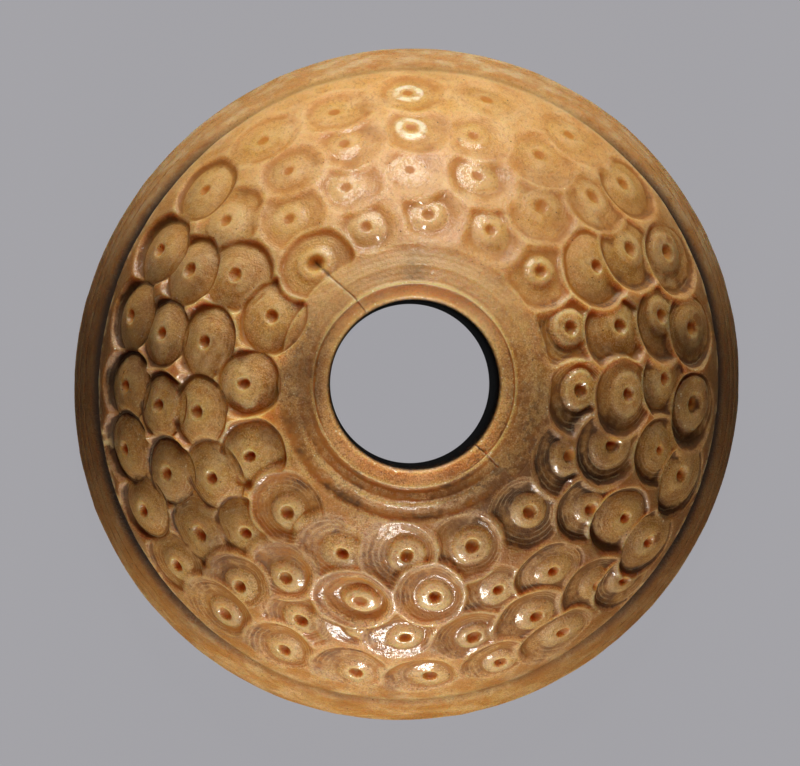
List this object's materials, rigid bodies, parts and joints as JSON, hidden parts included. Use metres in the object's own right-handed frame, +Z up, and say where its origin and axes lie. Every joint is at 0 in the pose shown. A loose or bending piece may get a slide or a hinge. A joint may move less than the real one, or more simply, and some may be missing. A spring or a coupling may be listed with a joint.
{
  "type": "spindle whorl",
  "caption": "Domed bone spindle whorl with a round bore, turned collar and plain rim, its dome carved all over with circle-and-dot marks.",
  "frame": {"origin": "centre of the outline on the flat underside", "axes": "+Z up the bore towards the domed top; +Y and +X lie in the underside, with +Y towards the far side of the whorl as it is looked down on"},
  "size_m": [0.0258, 0.0262, 0.0122],
  "materials": {
    "bone": "old polished bone, honey to amber, worn and dirty in the cuts"
  },
  "bodies": {
    "root": {"whorl": "bone"}
  },
  "joints": []
}
